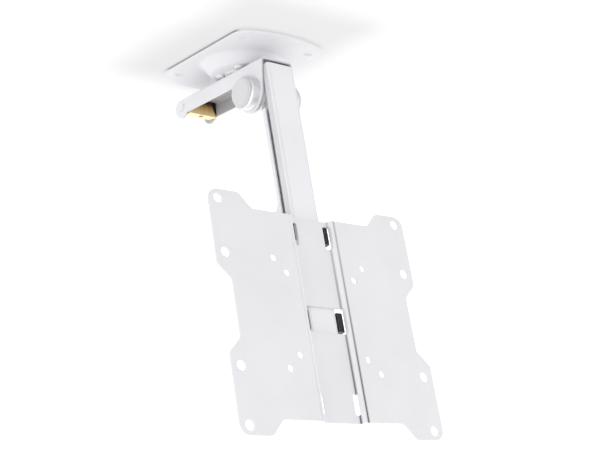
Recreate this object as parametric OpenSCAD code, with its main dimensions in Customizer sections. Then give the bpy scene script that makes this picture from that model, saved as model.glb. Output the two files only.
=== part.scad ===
// Flip-down ceiling mount for a flat screen, in millimetres.
// A pressed plate screws to the ceiling. A folded channel swivels under it and carries a post on a
// friction hinge. The post hangs with a screen plate at its foot, and folds back and up under the
// channel, where a sprung latch takes hold of the striker on its back.
// The origin is the centre of the ceiling plate's top face, +Z is up and the screen faces -Y.

/* [Ceiling plate] */
// Width of the ceiling plate between its straight sides
ceil_w = 103; // [96:1:120]
// Length of the ceiling plate over its bulging ends
ceil_l = 160; // [156:1:190]
// Radius of the two bulging ends
ceil_end_r = 120; // [95:1:140]
// Radius of the four corners
ceil_corner_r = 18; // [8:1:20]
// Sheet thickness of the ceiling plate
ceil_t = 2; // [1.5:0.5:3]
// Spacing of the screw slots across the plate
fix_x = 76; // [72:1:80]
// Spacing of the screw slots along the plate
fix_y = 112; // [104:1:118]
// Width of a screw slot
fix_slot_w = 7; // [5:0.5:8]
// Length of a screw slot over its round ends
fix_slot_l = 10; // [9:1:14]
// Radius of the pressed dish at the plate
dish_r = 43; // [40:1:46]
// Radius of the flat floor of the dish
dish_floor_r = 29; // [28:1:32]
// Depth of the pressed dish
dish_depth = 10; // [9:1:14]

/* [Swivel] */
// Diameter of the swivel bolt
swivel_d = 10; // [8:1:12]
// Diameter of the plate that stiffens the floor of the dish
backing_d = 56; // [54:1:58]
// Thickness of that plate
backing_t = 3; // [2:0.5:3.5]
// Diameter of the circle of rivets in the floor of the dish
rivet_pcd = 44; // [42:1:46]
// Diameter of a rivet
rivet_d = 5; // [4:0.5:6]
// Diameter of the disc that the channel turns on
swivel_disc_d = 34; // [28:1:35]
// Thickness of the disc that the channel turns on
swivel_disc_t = 2.9; // [2.6:0.1:4]

/* [Channel] */
// Sheet thickness of the channel
chan_t = 2.4; // [2:0.2:3]
// Height of the channel's side walls
chan_h = 17; // [15:1:20]
// Outer bend radius of the channel
chan_bend_r = 4.5; // [3.5:0.5:6]
// Distance from the swivel axis forward to the hinge axis
hinge_back = 38.5; // [34:0.5:44]
// Drop from the top of the channel to the hinge axis
hinge_drop = 33; // [32:0.5:40]
// Radius of the channel's round lobes at the hinge
lobe_r = 18; // [17:0.5:18.5]
// Fillet between a lobe and the channel's lower edge
lobe_fillet = 10; // [4:1:12]
// Distance from the hinge axis back to the latch pin
latch_pin_back = 121; // [116:1:130]
// Drop from the top of the channel to the latch pin
latch_pin_drop = 10; // [9:0.5:11]
// Radius of the channel's round ends at the latch pin
latch_lobe_r = 11; // [10:0.5:12]

/* [Hinge] */
// Diameter of the hinge bolt
hinge_d = 10; // [8:1:12]
// Radius of the drums beside the hinge
drum_r = 16.5; // [16:0.5:17.5]
// Length of a drum
drum_l = 9.5; // [9:0.5:12]
// Wall of a drum
drum_wall = 3.4; // [2.5:0.1:4]
// Radius of the caps that close the drums
cap_r = 13.3; // [12.9:0.1:13.5]
// Height of a cap over its drum
cap_h = 4; // [3.5:0.5:5]
// Outer radius of the post's hinge ears
ear_r = 17; // [15:0.5:17.5]

/* [Post] */
// Width of the post
post_w = 31; // [29:1:34]
// Depth of the post from front to back
post_d = 20; // [19:0.5:22]
// Length of the post above the hinge axis
post_above = 21.2; // [20.6:0.1:23]
// Length of the post below the screen plate's centre
post_tail = 26; // [25:0.5:40]
// Gap between the post's back and the hinge axis
post_behind = 7.9; // [6.5:0.1:9]
// Sheet thickness of the post's front and back shells
shell_t = 1.5; // [1.2:0.1:1.8]
// Depth of the front shell
front_shell_d = 8.7; // [7:0.1:9.5]
// Depth of the back shell
back_shell_d = 6.3; // [5:0.1:7]
// Outer bend radius of the shells
shell_r = 2.6; // [2:0.1:4]
// Width of the tube inside the shells
core_w = 24; // [22:0.5:26]
// Wall of that tube
core_t = 2; // [1.5:0.5:3]
// Forward lean of the hanging post, in degrees
lean = 11; // [5:0.5:13]

/* [Screen plate] */
// Distance from the wide screen holes out to the side edge of a lobe
lobe_edge_w = 10; // [8:0.5:16]
// Distance from the wide screen holes out to the upper or lower edge of a lobe
lobe_edge_h = 8.5; // [7:0.5:14]
// How far the waist lies inside the lobes
waist_inset = 13; // [8:1:18]
// How far the middle edge lies inside the lobes
lobe_step = 14.1; // [10:0.1:16]
// Half of the length of the waist
tv_waist_l = 26; // [22:1:30]
// Half of the length of the straight middle edge
tv_mid_l = 65.5; // [60:0.5:72]
// Sheet thickness of the screen plate
tv_t = 2; // [1.5:0.5:2.5]
// Half of the width of the recess at the front face
recess_half = 22.3; // [21.5:0.1:24]
// Depth of the recess
recess_depth = 5; // [4:0.5:6]
// How far a side wall of the recess leans in
recess_lean = 2.6; // [1:0.2:3]
// Depth of the crease pressed beside the recess
crease_d = 0.7; // [0.4:0.1:1]
// Width of that crease
crease_w = 3.5; // [2:0.5:5]
// How much farther from the hinge the screen plate's centre is than the latch pin
plate_drop = 115; // [115:0.5:125]
// Spacing of the wide screen holes
vesa_wide = 200; // [200:1:200]
// Spacing of the middle row of screen holes and of the larger inner square
vesa_mid = 100; // [100:1:100]
// Spacing of the smaller inner square of screen holes
vesa_small = 75; // [75:1:75]
// Diameter of the wide screen holes
vesa_wide_d = 9; // [6:0.5:10]
// Diameter of the inner screen holes
vesa_small_d = 6; // [5:0.5:7]
// Distance from an upper slot to the edge above it
slot_edge = 4.9; // [4:0.1:8]
// Height of an upper slot
slot_h = 22; // [21:0.5:24]
// Inner edge of the upper slots, from the centre line
slot_in = 14.7; // [13:0.1:15]
// Height of a lower slot
foot_slot_h = 19; // [15:0.5:22]
// Inner edge of the lower slots, from the centre line
foot_slot_in = 16.4; // [14:0.1:17]
// Outer edge of the slots and of the window, from the centre line
slot_out = 21.6; // [21.2:0.1:22]
// Height of the window in the middle
window_h = 24; // [22:0.5:26]

/* [Clamps] */
// Height of a clamp on the post
clamp_h = 17.5; // [15:0.5:19]
// Half of the width of a clamp
clamp_half = 23.2; // [22:0.1:24]
// Thickness of a clamp behind the post
clamp_back = 6; // [5:0.5:8]
// How far the upper clamp sits above the middle of the upper slots
clamp_rise = 4; // [3:0.5:5]
// Distance of the lower clamp below the plate's centre
clamp_low = 1.5; // [1:0.5:2.5]
// Diameter of a clamp screw
clamp_screw_d = 6; // [5:1:8]

/* [Latch] */
// Sheet thickness of the latch plate
latch_t = 2; // [1.5:0.5:2.5]
// Height of the latch plate
latch_h = 15.8; // [14:0.2:16.2]
// Depth of the lip at its foot
latch_lip = 9.8; // [9.4:0.1:10.2]
// Diameter of the latch pin
latch_pin_d = 5; // [4:0.5:6]
// Thickness of the striker
striker_t = 3; // [2:0.5:4]

/* [Hidden] */
$fn = 64;

// Clearances
slip = 0.1;        // between flat faces that turn or slide on each other
running = 0.06;    // radial, a bore that turns on its bolt or pin
loose = 0.3;       // round pieces that only stand near each other
seat = 0.05;       // radial, a bolt or rivet in the hole that it fills

white = [0.93, 0.935, 0.945];
black = [0.07, 0.07, 0.075];
zinc = [0.72, 0.73, 0.75];
gold = [0.80, 0.62, 0.30];
nylon = [0.90, 0.90, 0.88];
satin = [0.82, 0.82, 0.84];
steel = [0.45, 0.45, 0.47];

// Heights of the ceiling plate and the swivel
floor_z = -(ceil_t + dish_depth);
backing_top = floor_z + ceil_t + backing_t;
chan_top = floor_z - swivel_disc_t - slip;
chan_under = chan_top - chan_t;
chan_low = chan_top - chan_h;
swivel_head_h = 6;
swivel_washer_t = 1.6;
swivel_nut_h = 8;

// The channel and the hinge
hinge_y = -hinge_back;
hinge_z = chan_top - hinge_drop;
ear_washer_t = 0.6;
chan_in = post_w / 2 + slip * 6;
chan_out = chan_in + chan_t;
chan_front = hinge_y - lobe_r;
pin_y = hinge_y + latch_pin_back;
pin_z = chan_top - latch_pin_drop;
ear_out = chan_in - ear_washer_t - 2 * slip;
ear_in = core_w / 2 + 2 * slip;
drum_floor = 3;
drum_bore_r = drum_r - drum_wall;
drum_washer_t = 1.5;
disc_spring_t = 1.2;
disc_spring_n = 2;
hinge_head_h = 4.8;
hinge_nut_h = 6.6;
cap_wall = 1.3;
cap_spigot = 2;

// The screen plate's outline, and where it and the upper clamp stand
tv_half_w = vesa_wide / 2 + lobe_edge_w;
tv_half_h = vesa_wide / 2 + lobe_edge_h;
tv_waist = tv_half_w - waist_inset;
tv_mid_half_h = tv_half_h - lobe_step;
tv_down = latch_pin_back + plate_drop;
slot_up = tv_mid_half_h - slot_edge - slot_h / 2;
foot_slot_up = slot_up - 1;
clamp_up = slot_up + clamp_rise;

// The post, in its own frame: origin on the hinge axis, +Z up along the post, -Y to its front
post_below = tv_down + post_tail;
post_back_y = -post_behind;
post_front_y = post_back_y - post_d;
core_front_y = post_front_y + shell_t;
core_back_y = post_back_y - shell_t;
yoke_t = 2.4;
yoke_top = ear_r + 1.5;
yoke_low = -(ear_r + 3);
end_cap_t = 1.6;
core_top = post_above - end_cap_t - slip;
core_foot = -post_below + end_cap_t + slip;
yoke_rivet_top = yoke_top - 7;

// The screen plate in the post's frame
tv_rear_gap = 0.3;
tv_front_y = post_front_y - tv_rear_gap - tv_t - recess_depth;

// The latch and the striker, by their distance from the hinge axis when the post is folded up
lip_z = pin_z - hinge_z - 8.5;
panel_back = latch_pin_back - 12;
panel_top = lip_z + latch_h;
lip_end = panel_back + latch_lip;
lip_slot_in = panel_back + latch_t + 0.2;
lip_slot_out = lip_end - 2.6;
latch_half = chan_in - 0.5;
neck_out = lip_slot_out - loose;
neck_in = neck_out - 1.8;
nose_out = lip_slot_out + 1.5;
nose_z = lip_z + latch_t + loose;
striker_foot_t = 2;
striker_foot_w = 16;
striker_foot_l = 20;

// Rounds the corners of a polygon, each with its own radius. A radius of 0 keeps the corner.
function unit(v) = v / norm(v);
function wrap(a) = a > 180 ? a - 360 : (a < -180 ? a + 360 : a);
function corner(p0, p1, p2, r, n) =
    let (
        a = unit(p0 - p1),
        b = unit(p2 - p1),
        half = acos(a * b) / 2,
        c = p1 + unit(a + b) * r / sin(half),
        s = p1 + a * r / tan(half) - c,
        e = p1 + b * r / tan(half) - c,
        start = atan2(s.y, s.x),
        sweep = wrap(atan2(e.y, e.x) - start)
    )
    [for (i = [0:n]) c + r * [cos(start + sweep * i / n), sin(start + sweep * i / n)]];
function rounded(pts, radii, n = 6) =
    let (m = len(pts))
    [for (k = [0:m - 1])
        each radii[k] == 0
            ? [pts[k]]
            : corner(pts[(k + m - 1) % m], pts[k], pts[(k + 1) % m], radii[k], n)];
function mirrored(pts) = [for (i = [len(pts) - 1:-1:0]) [-pts[i].x, pts[i].y]];
function flipped(pts) = [for (i = [len(pts) - 1:-1:0]) [pts[i].x, -pts[i].y]];

// Places children at the hinge axis, and in the frame of the hanging post.
module at_hinge() {
    translate([0, hinge_y, hinge_z]) children();
}

module on_post() {
    at_hinge() rotate([-lean, 0, 0]) children();
}

// A cylinder along X from x0 to x1.
module rod_x(x0, x1, r, fn = 64) {
    translate([x0, 0, 0]) rotate([0, 90, 0]) cylinder(r = r, h = x1 - x0, $fn = fn);
}

// A washer or tube along X.
module ring_x(x0, x1, r_out, r_in) {
    difference() {
        rod_x(x0, x1, r_out);
        rod_x(x0 - 1, x1 + 1, r_in);
    }
}

// Extrudes a profile drawn in Y and Z along X, evenly about the middle.
module along_x(w) {
    rotate([90, 0, 90]) linear_extrude(w, center = true) children();
}

// Extrudes a profile drawn in X and Z along Y, from y0 to y1.
module along_y(y0, y1) {
    translate([0, y1, 0]) rotate([90, 0, 0]) linear_extrude(y1 - y0) children();
}

module rounded_box_2d(x0, x1, y0, y1, r) {
    polygon(rounded([[x0, y0], [x1, y0], [x1, y1], [x0, y1]], [r, r, r, r]));
}

// Ceiling plate: bulging ends, four slots and a pressed dish
module ceiling_outline() {
    c = ceil_l / 2 - ceil_end_r;
    fx = ceil_w / 2 - ceil_corner_r;
    fy = c + sqrt(pow(ceil_end_r - ceil_corner_r, 2) - fx * fx);
    turn = atan2(fy - c, fx);
    quarter = concat(
        [for (i = [0:6]) [fx, fy] + ceil_corner_r * [cos(turn * i / 6), sin(turn * i / 6)]],
        [for (i = [1:12])
            let (a = turn + (90 - turn) * i / 12)
            [0, c] + ceil_end_r * [cos(a), sin(a)]]
    );
    top = concat(quarter, mirrored(quarter));
    polygon(concat(top, [for (p = top) -p]));
}

module slot_2d(w, l) {
    square([l - w, w], center = true);
    for (s = [-1, 1]) translate([s * (l - w) / 2, 0]) circle(d = w);
}

module dish_profile() {
    n = 12;
    upper = [for (i = [0:n])
        let (s = i / n)
        [dish_floor_r + (dish_r - dish_floor_r) * s, -dish_depth * (1 + cos(180 * s)) / 2]];
    lower = [for (i = [n:-1:0]) [upper[i].x, upper[i].y - ceil_t]];
    polygon(concat([[0, -dish_depth]], upper, lower, [[0, floor_z]]));
}

module ceiling_plate() {
    color(white) difference() {
        union() {
            difference() {
                translate([0, 0, -ceil_t]) linear_extrude(ceil_t) ceiling_outline();
                translate([0, 0, -ceil_t - 1]) cylinder(r = dish_r, h = ceil_t + 2, $fn = 96);
            }
            rotate_extrude($fn = 96) dish_profile();
        }
        for (sx = [-1, 1], sy = [-1, 1])
            translate([sx * fix_x / 2, sy * fix_y / 2, -ceil_t - 1])
                linear_extrude(ceil_t + 2) slot_2d(fix_slot_w, fix_slot_l);
        translate([0, 0, floor_z - 1]) cylinder(r = swivel_d / 2 + seat, h = ceil_t + 2);
        rivet_holes(floor_z - 1, ceil_t + 2);
    }
}

module rivet_places() {
    for (a = [45:90:315]) rotate([0, 0, a]) translate([rivet_pcd / 2, 0, 0]) children();
}

module rivet_holes(z, h) {
    rivet_places() translate([0, 0, z]) cylinder(r = rivet_d / 2 + seat, h = h, $fn = 32);
}

module backing_plate() {
    z = floor_z + ceil_t;
    color(zinc) difference() {
        translate([0, 0, z]) cylinder(d = backing_d, h = backing_t, $fn = 96);
        translate([0, 0, z - 1]) cylinder(r = swivel_d / 2 + seat, h = backing_t + 2);
        rivet_holes(z - 1, backing_t + 2);
    }
}

// A rivet: a low dome under the dish and a flat head on the backing plate
module dish_rivets() {
    head_r = rivet_d * 0.9;
    dome = min(2, swivel_disc_t - 0.8);
    color(white) rivet_places() rotate_extrude($fn = 32) polygon([
        [0, floor_z - dome], [head_r * 0.6, floor_z - dome], [head_r * 0.9, floor_z - dome * 0.6],
        [head_r, floor_z], [rivet_d / 2, floor_z], [rivet_d / 2, backing_top],
        [head_r, backing_top], [head_r * 0.8, backing_top + 1.4], [0, backing_top + 1.4]
    ]);
}

module swivel_bolt() {
    tip = chan_under - slip - swivel_washer_t - swivel_nut_h - 1.5;
    color(zinc) {
        translate([0, 0, tip + 1]) cylinder(d = swivel_d, h = backing_top - tip - 1);
        translate([0, 0, tip]) cylinder(d1 = swivel_d - 2, d2 = swivel_d, h = 1);
        translate([0, 0, backing_top]) cylinder(d = swivel_d * 1.85, h = swivel_head_h, $fn = 6);
    }
}

module swivel_disc() {
    color(nylon) translate([0, 0, floor_z - swivel_disc_t]) difference() {
        cylinder(d = swivel_disc_d, h = swivel_disc_t);
        translate([0, 0, -1]) cylinder(r = swivel_d / 2 + seat, h = swivel_disc_t + 2);
    }
}

module swivel_washer() {
    color(zinc) translate([0, 0, chan_under - slip - swivel_washer_t]) difference() {
        cylinder(d = swivel_d * 2, h = swivel_washer_t);
        translate([0, 0, -1]) cylinder(r = swivel_d / 2 + seat, h = swivel_washer_t + 2);
    }
}

// Lock nut: a hexagon with a round collar below
module swivel_nut() {
    top = chan_under - slip - swivel_washer_t;
    collar = 2.5;
    color(zinc) difference() {
        union() {
            translate([0, 0, top - swivel_nut_h + collar])
                cylinder(d = swivel_d * 1.85, h = swivel_nut_h - collar, $fn = 6);
            translate([0, 0, top - swivel_nut_h]) cylinder(d = swivel_d * 1.45, h = collar + 0.5);
        }
        translate([0, 0, top - swivel_nut_h - 1]) cylinder(r = swivel_d / 2 + seat, h = swivel_nut_h + 2);
    }
}

// Channel: a U bent from one sheet, its sides cut to lobes at the hinge and at the latch pin
module channel_section() {
    low = hinge_z - lobe_r - 1;
    polygon(rounded(
        [
            [-chan_out, low], [-chan_in, low], [-chan_in, chan_under], [chan_in, chan_under],
            [chan_in, low], [chan_out, low], [chan_out, chan_top], [-chan_out, chan_top]
        ],
        [0, 0, chan_bend_r - chan_t, chan_bend_r - chan_t, 0, 0, chan_bend_r, chan_bend_r]
    ));
}

module channel_side() {
    lobe_back = hinge_y + lobe_r;
    translate([chan_front, chan_low]) square([pin_y - chan_front, chan_h]);
    translate([chan_front, hinge_z]) square([2 * lobe_r, chan_low - hinge_z + 1]);
    translate([hinge_y, hinge_z]) circle(r = lobe_r, $fn = 96);
    difference() {
        translate([lobe_back - 0.5, chan_low - lobe_fillet]) square(lobe_fillet + 0.5);
        translate([lobe_back + lobe_fillet, chan_low - lobe_fillet]) circle(r = lobe_fillet);
    }
    translate([pin_y, pin_z]) circle(r = latch_lobe_r);
    translate([pin_y - latch_lobe_r, pin_z])
        square([latch_lobe_r, chan_top - pin_z]);
}

module channel_bracket() {
    color(white) difference() {
        intersection() {
            along_y(chan_front - 1, pin_y + latch_lobe_r + 1) channel_section();
            along_x(2 * chan_out + 2) channel_side();
        }
        translate([0, 0, chan_under - 1]) cylinder(r = swivel_d / 2 + running, h = chan_t + 2);
        at_hinge() rod_x(-chan_out - 1, chan_out + 1, hinge_d / 2 + seat);
        translate([0, pin_y, pin_z]) rod_x(-chan_out - 1, chan_out + 1, latch_pin_d / 2 + seat);
    }
}

// Drums: cups on the channel's lobes that hold the ends of the hinge bolt
module drum_profile() {
    edge = 1.2;
    polygon([
        [hinge_d / 2 + seat, 0], [drum_r, 0], [drum_r, drum_l - edge], [drum_r - edge, drum_l],
        [drum_bore_r, drum_l], [drum_bore_r, drum_floor], [hinge_d / 2 + seat, drum_floor]
    ]);
}

module hinge_drum(side) {
    color(satin) at_hinge() translate([side * chan_out, 0, 0]) rotate([0, side * 90, 0])
        rotate_extrude($fn = 96) drum_profile();
}

// Caps: two steps, a spigot that plugs into the drum, and a small notch to lift the cap by
module cap_profile() {
    spigot_r = drum_bore_r - slip / 2;
    step = cap_h * 0.45;
    polygon([
        [spigot_r - cap_wall, -cap_spigot], [spigot_r, -cap_spigot], [spigot_r, 0], [cap_r + 0.5, 0],
        [cap_r + 0.5, step - 0.4], [cap_r, step], [cap_r, cap_h - 0.8], [cap_r - 0.8, cap_h],
        [0, cap_h], [0, cap_h - cap_wall], [spigot_r - cap_wall, cap_h - cap_wall]
    ]);
}

module hinge_cap(side) {
    color(white) at_hinge() translate([side * (chan_out + drum_l), 0, 0]) rotate([0, side * 90, 0])
        difference() {
            rotate_extrude($fn = 96) cap_profile();
            translate([side * cap_r, -side * 1.5, cap_h]) cube([1.8, 3.2, 1.6], center = true);
        }
}

module hinge_bolt() {
    stack = drum_washer_t + disc_spring_n * disc_spring_t;
    head_x = -(chan_out + drum_floor + stack);
    tip_x = chan_out + drum_floor + drum_washer_t + hinge_nut_h + 0.4;
    color(zinc) at_hinge() {
        rod_x(head_x, tip_x, hinge_d / 2);
        rod_x(head_x - hinge_head_h, head_x, hinge_d * 0.92, 6);
    }
}

module hinge_nut() {
    x0 = chan_out + drum_floor + drum_washer_t;
    color(zinc) at_hinge() difference() {
        rod_x(x0, x0 + hinge_nut_h, hinge_d * 0.92, 6);
        rod_x(x0 - 1, x0 + hinge_nut_h + 1, hinge_d / 2 + seat);
    }
}

module drum_washers() {
    x0 = chan_out + drum_floor;
    color(zinc) at_hinge() {
        ring_x(x0, x0 + drum_washer_t, hinge_d, hinge_d / 2 + seat);
        ring_x(-x0 - drum_washer_t, -x0, hinge_d, hinge_d / 2 + seat);
    }
}

// Coned washers that keep the hinge tight, laid edge to edge
module disc_springs() {
    x0 = -(chan_out + drum_floor + drum_washer_t);
    r_in = hinge_d / 2 + 0.15;
    r_out = hinge_d * 0.95;
    skin = disc_spring_t * 0.65;
    cone = disc_spring_t - skin;
    color(zinc) at_hinge() for (i = [0:disc_spring_n - 1])
        translate([x0 - disc_spring_t * i, 0, 0]) rotate([0, -90, 0]) rotate_extrude()
            polygon(i % 2 == 0
                ? [[r_in, cone], [r_out, 0], [r_out, skin], [r_in, disc_spring_t]]
                : [[r_in, 0], [r_out, cone], [r_out, disc_spring_t], [r_in, skin]]);
}

module ear_washers() {
    color(nylon) at_hinge() for (s = [-1, 1])
        translate([s * (ear_out + slip + ear_washer_t / 2), 0, 0])
            ring_x(-ear_washer_t / 2, ear_washer_t / 2, ear_r - 2, hinge_d / 2 + running);
}

// Yoke: two round ears and the web that joins them across the back of the post
module yoke_side() {
    translate([0, 0]) circle(r = ear_r, $fn = 96);
    translate([core_back_y, yoke_low]) square([yoke_t, yoke_top - yoke_low]);
    polygon([
        [core_back_y, yoke_low], [core_back_y + yoke_t, yoke_low],
        [ear_r * sin(40), -ear_r * cos(40)], [ear_r * sin(40), ear_r * cos(40)],
        [core_back_y + yoke_t, yoke_top], [core_back_y, yoke_top]
    ]);
}

module hinge_yoke() {
    color(white) on_post() difference() {
        along_x(2 * ear_out) yoke_side();
        translate([-ear_in, core_back_y + yoke_t, yoke_low - 1])
            cube([2 * ear_in, 3 * ear_r, yoke_top - yoke_low + 2]);
        translate([-ear_in, -3 * ear_r + core_back_y, yoke_low - 1])
            cube([2 * ear_in, 3 * ear_r, yoke_top - yoke_low + 2]);
        rod_x(-ear_out - 1, ear_out + 1, hinge_d / 2 + running);
        yoke_rivet_places() rotate([90, 0, 0]) cylinder(r = rivet_d / 2 + seat, h = 30, center = true, $fn = 32);
    }
}

module yoke_rivet_places() {
    x = core_w / 2 - core_t - rivet_d * 0.85 - 0.8;
    for (sx = [-1, 1], z = [yoke_low + 4, yoke_rivet_top])
        translate([sx * x, core_back_y, z]) children();
}

module hinge_sleeve() {
    color(zinc) at_hinge() ring_x(-ear_in + slip, ear_in - slip, hinge_d / 2 + 2, hinge_d / 2 + running);
}

// Post: a steel tube between a front shell and a back shell, which leave a groove down each side
module core_section() {
    difference() {
        rounded_box_2d(-core_w / 2, core_w / 2, core_front_y, core_back_y, 2);
        rounded_box_2d(
            -core_w / 2 + core_t, core_w / 2 - core_t, core_front_y + core_t, core_back_y - core_t, 0.8);
    }
}

module post_core() {
    color(steel) on_post() difference() {
        translate([0, 0, core_foot]) linear_extrude(core_top - core_foot) core_section();
        yoke_rivet_places() rotate([-90, 0, 0])
            translate([0, 0, -core_t - 0.5]) cylinder(r = rivet_d / 2 + seat, h = core_t + 1, $fn = 32);
    }
}

// A shallow channel section, open towards +Y
module shell_section(depth) {
    w = post_w / 2;
    polygon(rounded(
        [
            [-w, depth], [-w, 0], [w, 0], [w, depth], [w - shell_t, depth], [w - shell_t, shell_t],
            [-w + shell_t, shell_t], [-w + shell_t, depth]
        ],
        [0, shell_r, shell_r, 0, 0, shell_r - shell_t, shell_r - shell_t, 0]
    ));
}

module post_front_shell() {
    color(white) on_post() translate([0, post_front_y, -post_below])
        linear_extrude(post_below + post_above) shell_section(front_shell_d);
}

module post_back_shell() {
    color(white) on_post() translate([0, post_back_y, -post_below])
        linear_extrude(post_below + yoke_low - 1) mirror([0, 1]) shell_section(back_shell_d);
}

// End caps: a flat head on the tube's end and a spigot inside the tube
module end_cap(depth) {
    w = core_w / 2 - core_t - slip;
    front = core_front_y + core_t + slip;
    back = core_back_y - core_t - slip;
    wall = 1.6;
    head_w = core_w / 2;
    color(black) {
        linear_extrude(end_cap_t) rounded_box_2d(-head_w, head_w, core_front_y + slip, core_back_y - slip, 1.8);
        translate([0, 0, -depth]) linear_extrude(depth + 0.5) difference() {
            rounded_box_2d(-w, w, front, back, 0.8);
            rounded_box_2d(-w + wall, w - wall, front + wall, back - wall, 0.5);
        }
    }
}

module post_top_cap() {
    depth = core_top - yoke_rivet_top - rivet_d * 0.85 - loose;
    on_post() translate([0, 0, core_top + slip]) end_cap(depth);
}

module post_foot_cap() {
    on_post() translate([0, 0, core_foot - slip]) mirror([0, 0, 1]) end_cap(8);
}

module yoke_rivets() {
    head_r = rivet_d * 0.85;
    back = yoke_t + 1.6;
    color(zinc) on_post() yoke_rivet_places() rotate([-90, 0, 0]) rotate_extrude($fn = 32) polygon([
        [0, -core_t - 1], [head_r, -core_t - 1], [head_r, -core_t], [rivet_d / 2, -core_t],
        [rivet_d / 2, yoke_t], [head_r, yoke_t], [head_r * 0.75, back], [0, back]
    ]);
}

// Striker: a hook on a foot, drawn by its height over the hinge axis and its place along the post
module striker() {
    t = striker_t;
    mid = (neck_in + neck_out) / 2;
    foot_y = post_back_y + striker_foot_t;
    color(zinc) on_post() difference() {
        union() {
            along_x(t) polygon([
                [post_back_y, -mid - 5], [lip_z - 2, -mid - 3], [lip_z - 1, -neck_out],
                [nose_z, -neck_out], [nose_z, -nose_out], [nose_z + 0.8, -nose_out],
                [nose_z + 2.2, -neck_out + 0.3], [nose_z + 2.2, -neck_in], [lip_z - 5, -neck_in],
                [lip_z - 6, -mid + 5], [post_back_y, -mid + 6]
            ]);
            translate([-striker_foot_w / 2, post_back_y, -mid - striker_foot_l / 2])
                cube([striker_foot_w, striker_foot_t, striker_foot_l]);
        }
        striker_screw_places() rotate([-90, 0, 0])
            translate([0, 0, -1]) cylinder(r = 2 + seat, h = striker_foot_t + 2, $fn = 32);
    }
}

module striker_screw_places() {
    mid = (neck_in + neck_out) / 2;
    for (s = [-1, 1]) translate([s * 5, post_back_y, -mid + s * 5]) children();
}

module striker_screws() {
    t = striker_foot_t;
    color(zinc) on_post() striker_screw_places() rotate([-90, 0, 0]) {
        cylinder(r = 2, h = t, $fn = 32);
        translate([0, 0, t]) cylinder(r = 3.4, h = 2, $fn = 32);
    }
}

// Screen plate: one sheet with four corner lobes and a recess down the middle
module tv_outline() {
    edge = 14;
    run = tv_half_h - tv_mid_half_h - 1.5;
    step = tv_half_w - tv_waist;
    quarter = [
        [tv_waist, tv_waist_l], [tv_half_w, tv_waist_l + step],
        [tv_half_w, tv_half_h], [tv_mid_l + run, tv_half_h], [tv_mid_l, tv_mid_half_h]
    ];
    radii = [6, 6, 10, 6, 6];
    back_radii = [for (i = [len(radii) - 1:-1:0]) radii[i]];
    top = concat(quarter, mirrored(quarter));
    top_r = concat(radii, back_radii);
    polygon(rounded(concat(top, [for (p = top) -p]), concat(top_r, top_r)));
}

module tv_section() {
    lean_per_mm = recess_lean / recess_depth;
    shift = tv_t * sqrt(1 + lean_per_mm * lean_per_mm);
    out = tv_half_w + 1;
    foot = recess_half - recess_lean;
    crease_x = recess_half + 2;
    front = [
        [foot, recess_depth], [recess_half, 0], [crease_x, 0], [crease_x + 0.2, crease_d],
        [crease_x + crease_w, 0], [out, 0]
    ];
    rear = [
        [out, tv_t], [recess_half + shift - lean_per_mm * tv_t, tv_t],
        [foot + shift - lean_per_mm * tv_t, recess_depth + tv_t]
    ];
    r = 1;
    polygon(rounded(
        concat(front, rear, mirrored(rear), mirrored(front)),
        [r, r + tv_t, 0, 0, 0, 0, 0, r, r + tv_t, r + tv_t, r, 0, 0, 0, 0, 0, r + tv_t, r]
    ));
}

module screen_hole(x, z, d) {
    translate([x, 0, z]) rotate([90, 0, 0]) cylinder(d = d, h = 4 * recess_depth, center = true, $fn = 48);
}

module side_slot(x, z, h) {
    along_y(-2, 4 * recess_depth) rounded_box_2d(x, slot_out, z - h / 2, z + h / 2, 2);
}

module tv_plate() {
    w = vesa_wide / 2;
    m = vesa_mid / 2;
    s = vesa_small / 2;
    color(white) on_post() translate([0, tv_front_y, -tv_down]) difference() {
        intersection() {
            along_y(-1, recess_depth + tv_t + 1) tv_outline();
            translate([0, 0, -tv_half_h - 1]) linear_extrude(2 * tv_half_h + 2) tv_section();
        }
        for (sx = [-1, 1], sz = [-1, 1]) {
            screen_hole(sx * w, sz * w, vesa_wide_d);
            screen_hole(sx * w, sz * m, vesa_wide_d);
            screen_hole(sx * m, sz * m, vesa_small_d);
            screen_hole(sx * s, sz * s, vesa_small_d);
        }
        for (m = [0, 1]) mirror([m, 0, 0]) {
            side_slot(slot_in, slot_up, slot_h);
            side_slot(foot_slot_in, -foot_slot_up, foot_slot_h);
        }
        along_y(-2, 4 * recess_depth) rounded_box_2d(
            -slot_out, slot_out, -clamp_low - window_h / 2, -clamp_low + window_h / 2, 1.5);
    }
}

// Clamps: black saddles behind the screen plate that hug the post, with ribs in its grooves
module clamp_section() {
    in = post_w / 2 + loose;
    front = post_front_y;
    back = post_back_y + loose;
    groove_front = post_front_y + front_shell_d + loose;
    groove_back = post_back_y - back_shell_d - loose;
    rib = core_w / 2 + loose;
    difference() {
        rounded_box_2d(-clamp_half, clamp_half, front, back + clamp_back, 2);
        translate([-in, front - 1]) square([2 * in, back - front + 1]);
    }
    for (s = [-1, 1])
        translate([s * (rib + in + 1) / 2, (groove_front + groove_back) / 2])
            square([in + 1 - rib, groove_back - groove_front], center = true);
}

module clamp_at(z) {
    color(black) on_post() translate([0, 0, z - tv_down]) difference() {
        translate([0, 0, -clamp_h / 2]) linear_extrude(clamp_h) clamp_section();
        rotate([-90, 0, 0]) translate([0, 0, post_back_y])
            cylinder(r = clamp_screw_d / 2 + seat, h = clamp_back + 10);
    }
}

module upper_clamp() {
    clamp_at(clamp_up);
}

module lower_clamp() {
    clamp_at(-clamp_low);
}

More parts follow.
